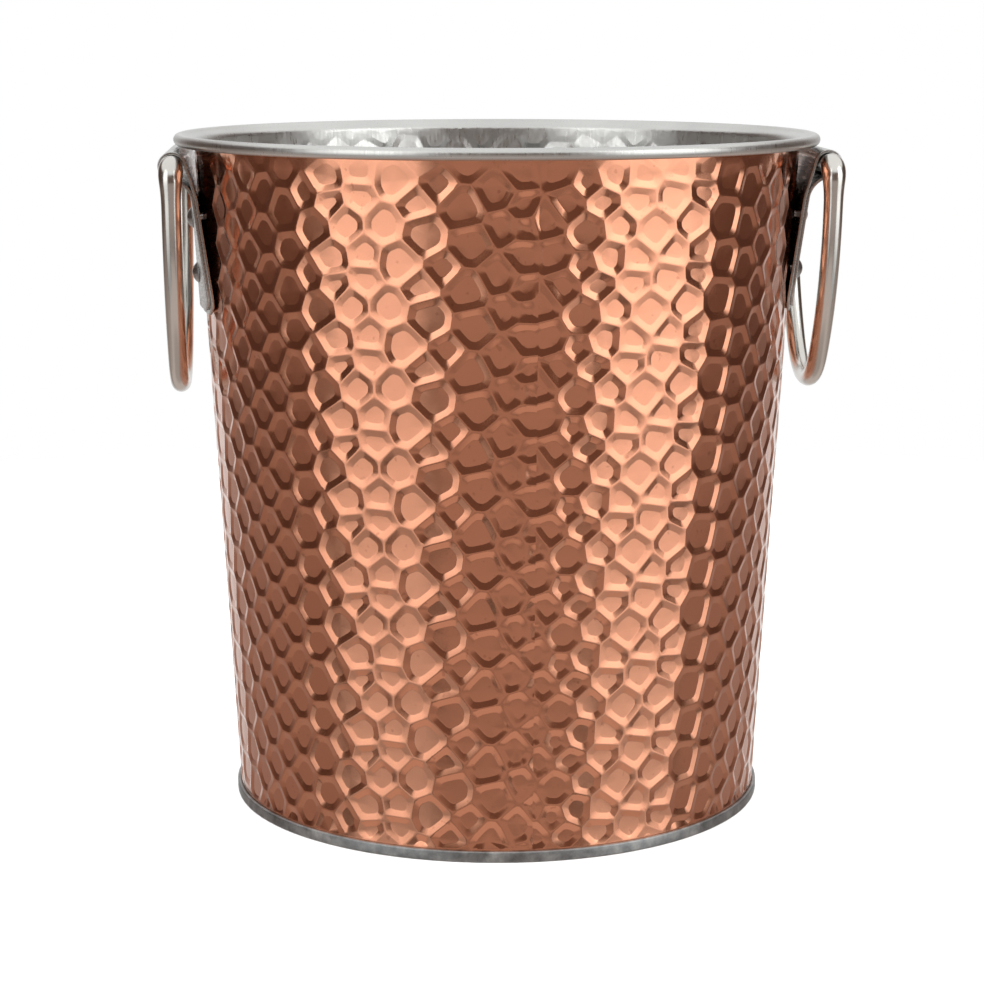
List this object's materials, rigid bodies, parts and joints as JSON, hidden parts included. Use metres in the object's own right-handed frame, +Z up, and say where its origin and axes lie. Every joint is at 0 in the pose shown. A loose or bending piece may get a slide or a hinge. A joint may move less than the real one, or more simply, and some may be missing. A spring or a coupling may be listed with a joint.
{
  "type": "ice bucket",
  "caption": "Tapered hammered-metal ice bucket with a wired rim, double-seamed bottom and swinging ring handles in riveted brackets.",
  "frame": {"origin": "middle of the bucket's resting plane, under the centre of the bottom", "axes": "+Z up along the bucket's axis, +X through the right ring handle, +Y to the back; the wall's lap seam faces -Y"},
  "size_m": [0.2224, 0.215, 0.225],
  "materials": {
    "copper_lacquer": "translucent copper lacquer over bright embossed steel, gloss; bare steel inside",
    "bare_steel": "bright tin-plated sheet, satin",
    "galvanised_wire": "drawn wire, dull",
    "zinc_sheet": "mottled dull zinc",
    "sealing_compound": "matt",
    "bracket_steel": "satin stainless sheet",
    "ring_steel": "fine satin stainless rod",
    "rivet_steel": "bright domed heads"
  },
  "bodies": {
    "bucket": {"side_wall": "copper_lacquer", "rim_wire": "galvanised_wire", "base_pan": "zinc_sheet", "seam_sealant": "sealing_compound", "bracket_left": "bracket_steel", "bracket_right": "bracket_steel", "rivet_left_upper_front": "rivet_steel", "rivet_left_upper_back": "rivet_steel", "rivet_left_lower_front": "rivet_steel", "rivet_left_lower_back": "rivet_steel", "rivet_right_upper_front": "rivet_steel", "rivet_right_upper_back": "rivet_steel", "rivet_right_lower_front": "rivet_steel", "rivet_right_lower_back": "rivet_steel"},
    "handle_left": {"ring_handle_left": "ring_steel"},
    "handle_right": {"ring_handle_right": "ring_steel"}
  },
  "joints": [
    {"name": "left_handle_swing", "type": "hinge", "parent": "bucket", "child": "handle_left", "pos_m": [-0.1066, 0, 0.2156], "axis": [0, 1, 0], "range_deg": [-4, 195]},
    {"name": "right_handle_swing", "type": "hinge", "parent": "bucket", "child": "handle_right", "pos_m": [0.1066, 0, 0.2156], "axis": [0, -1, 0], "range_deg": [-4, 195]}
  ]
}
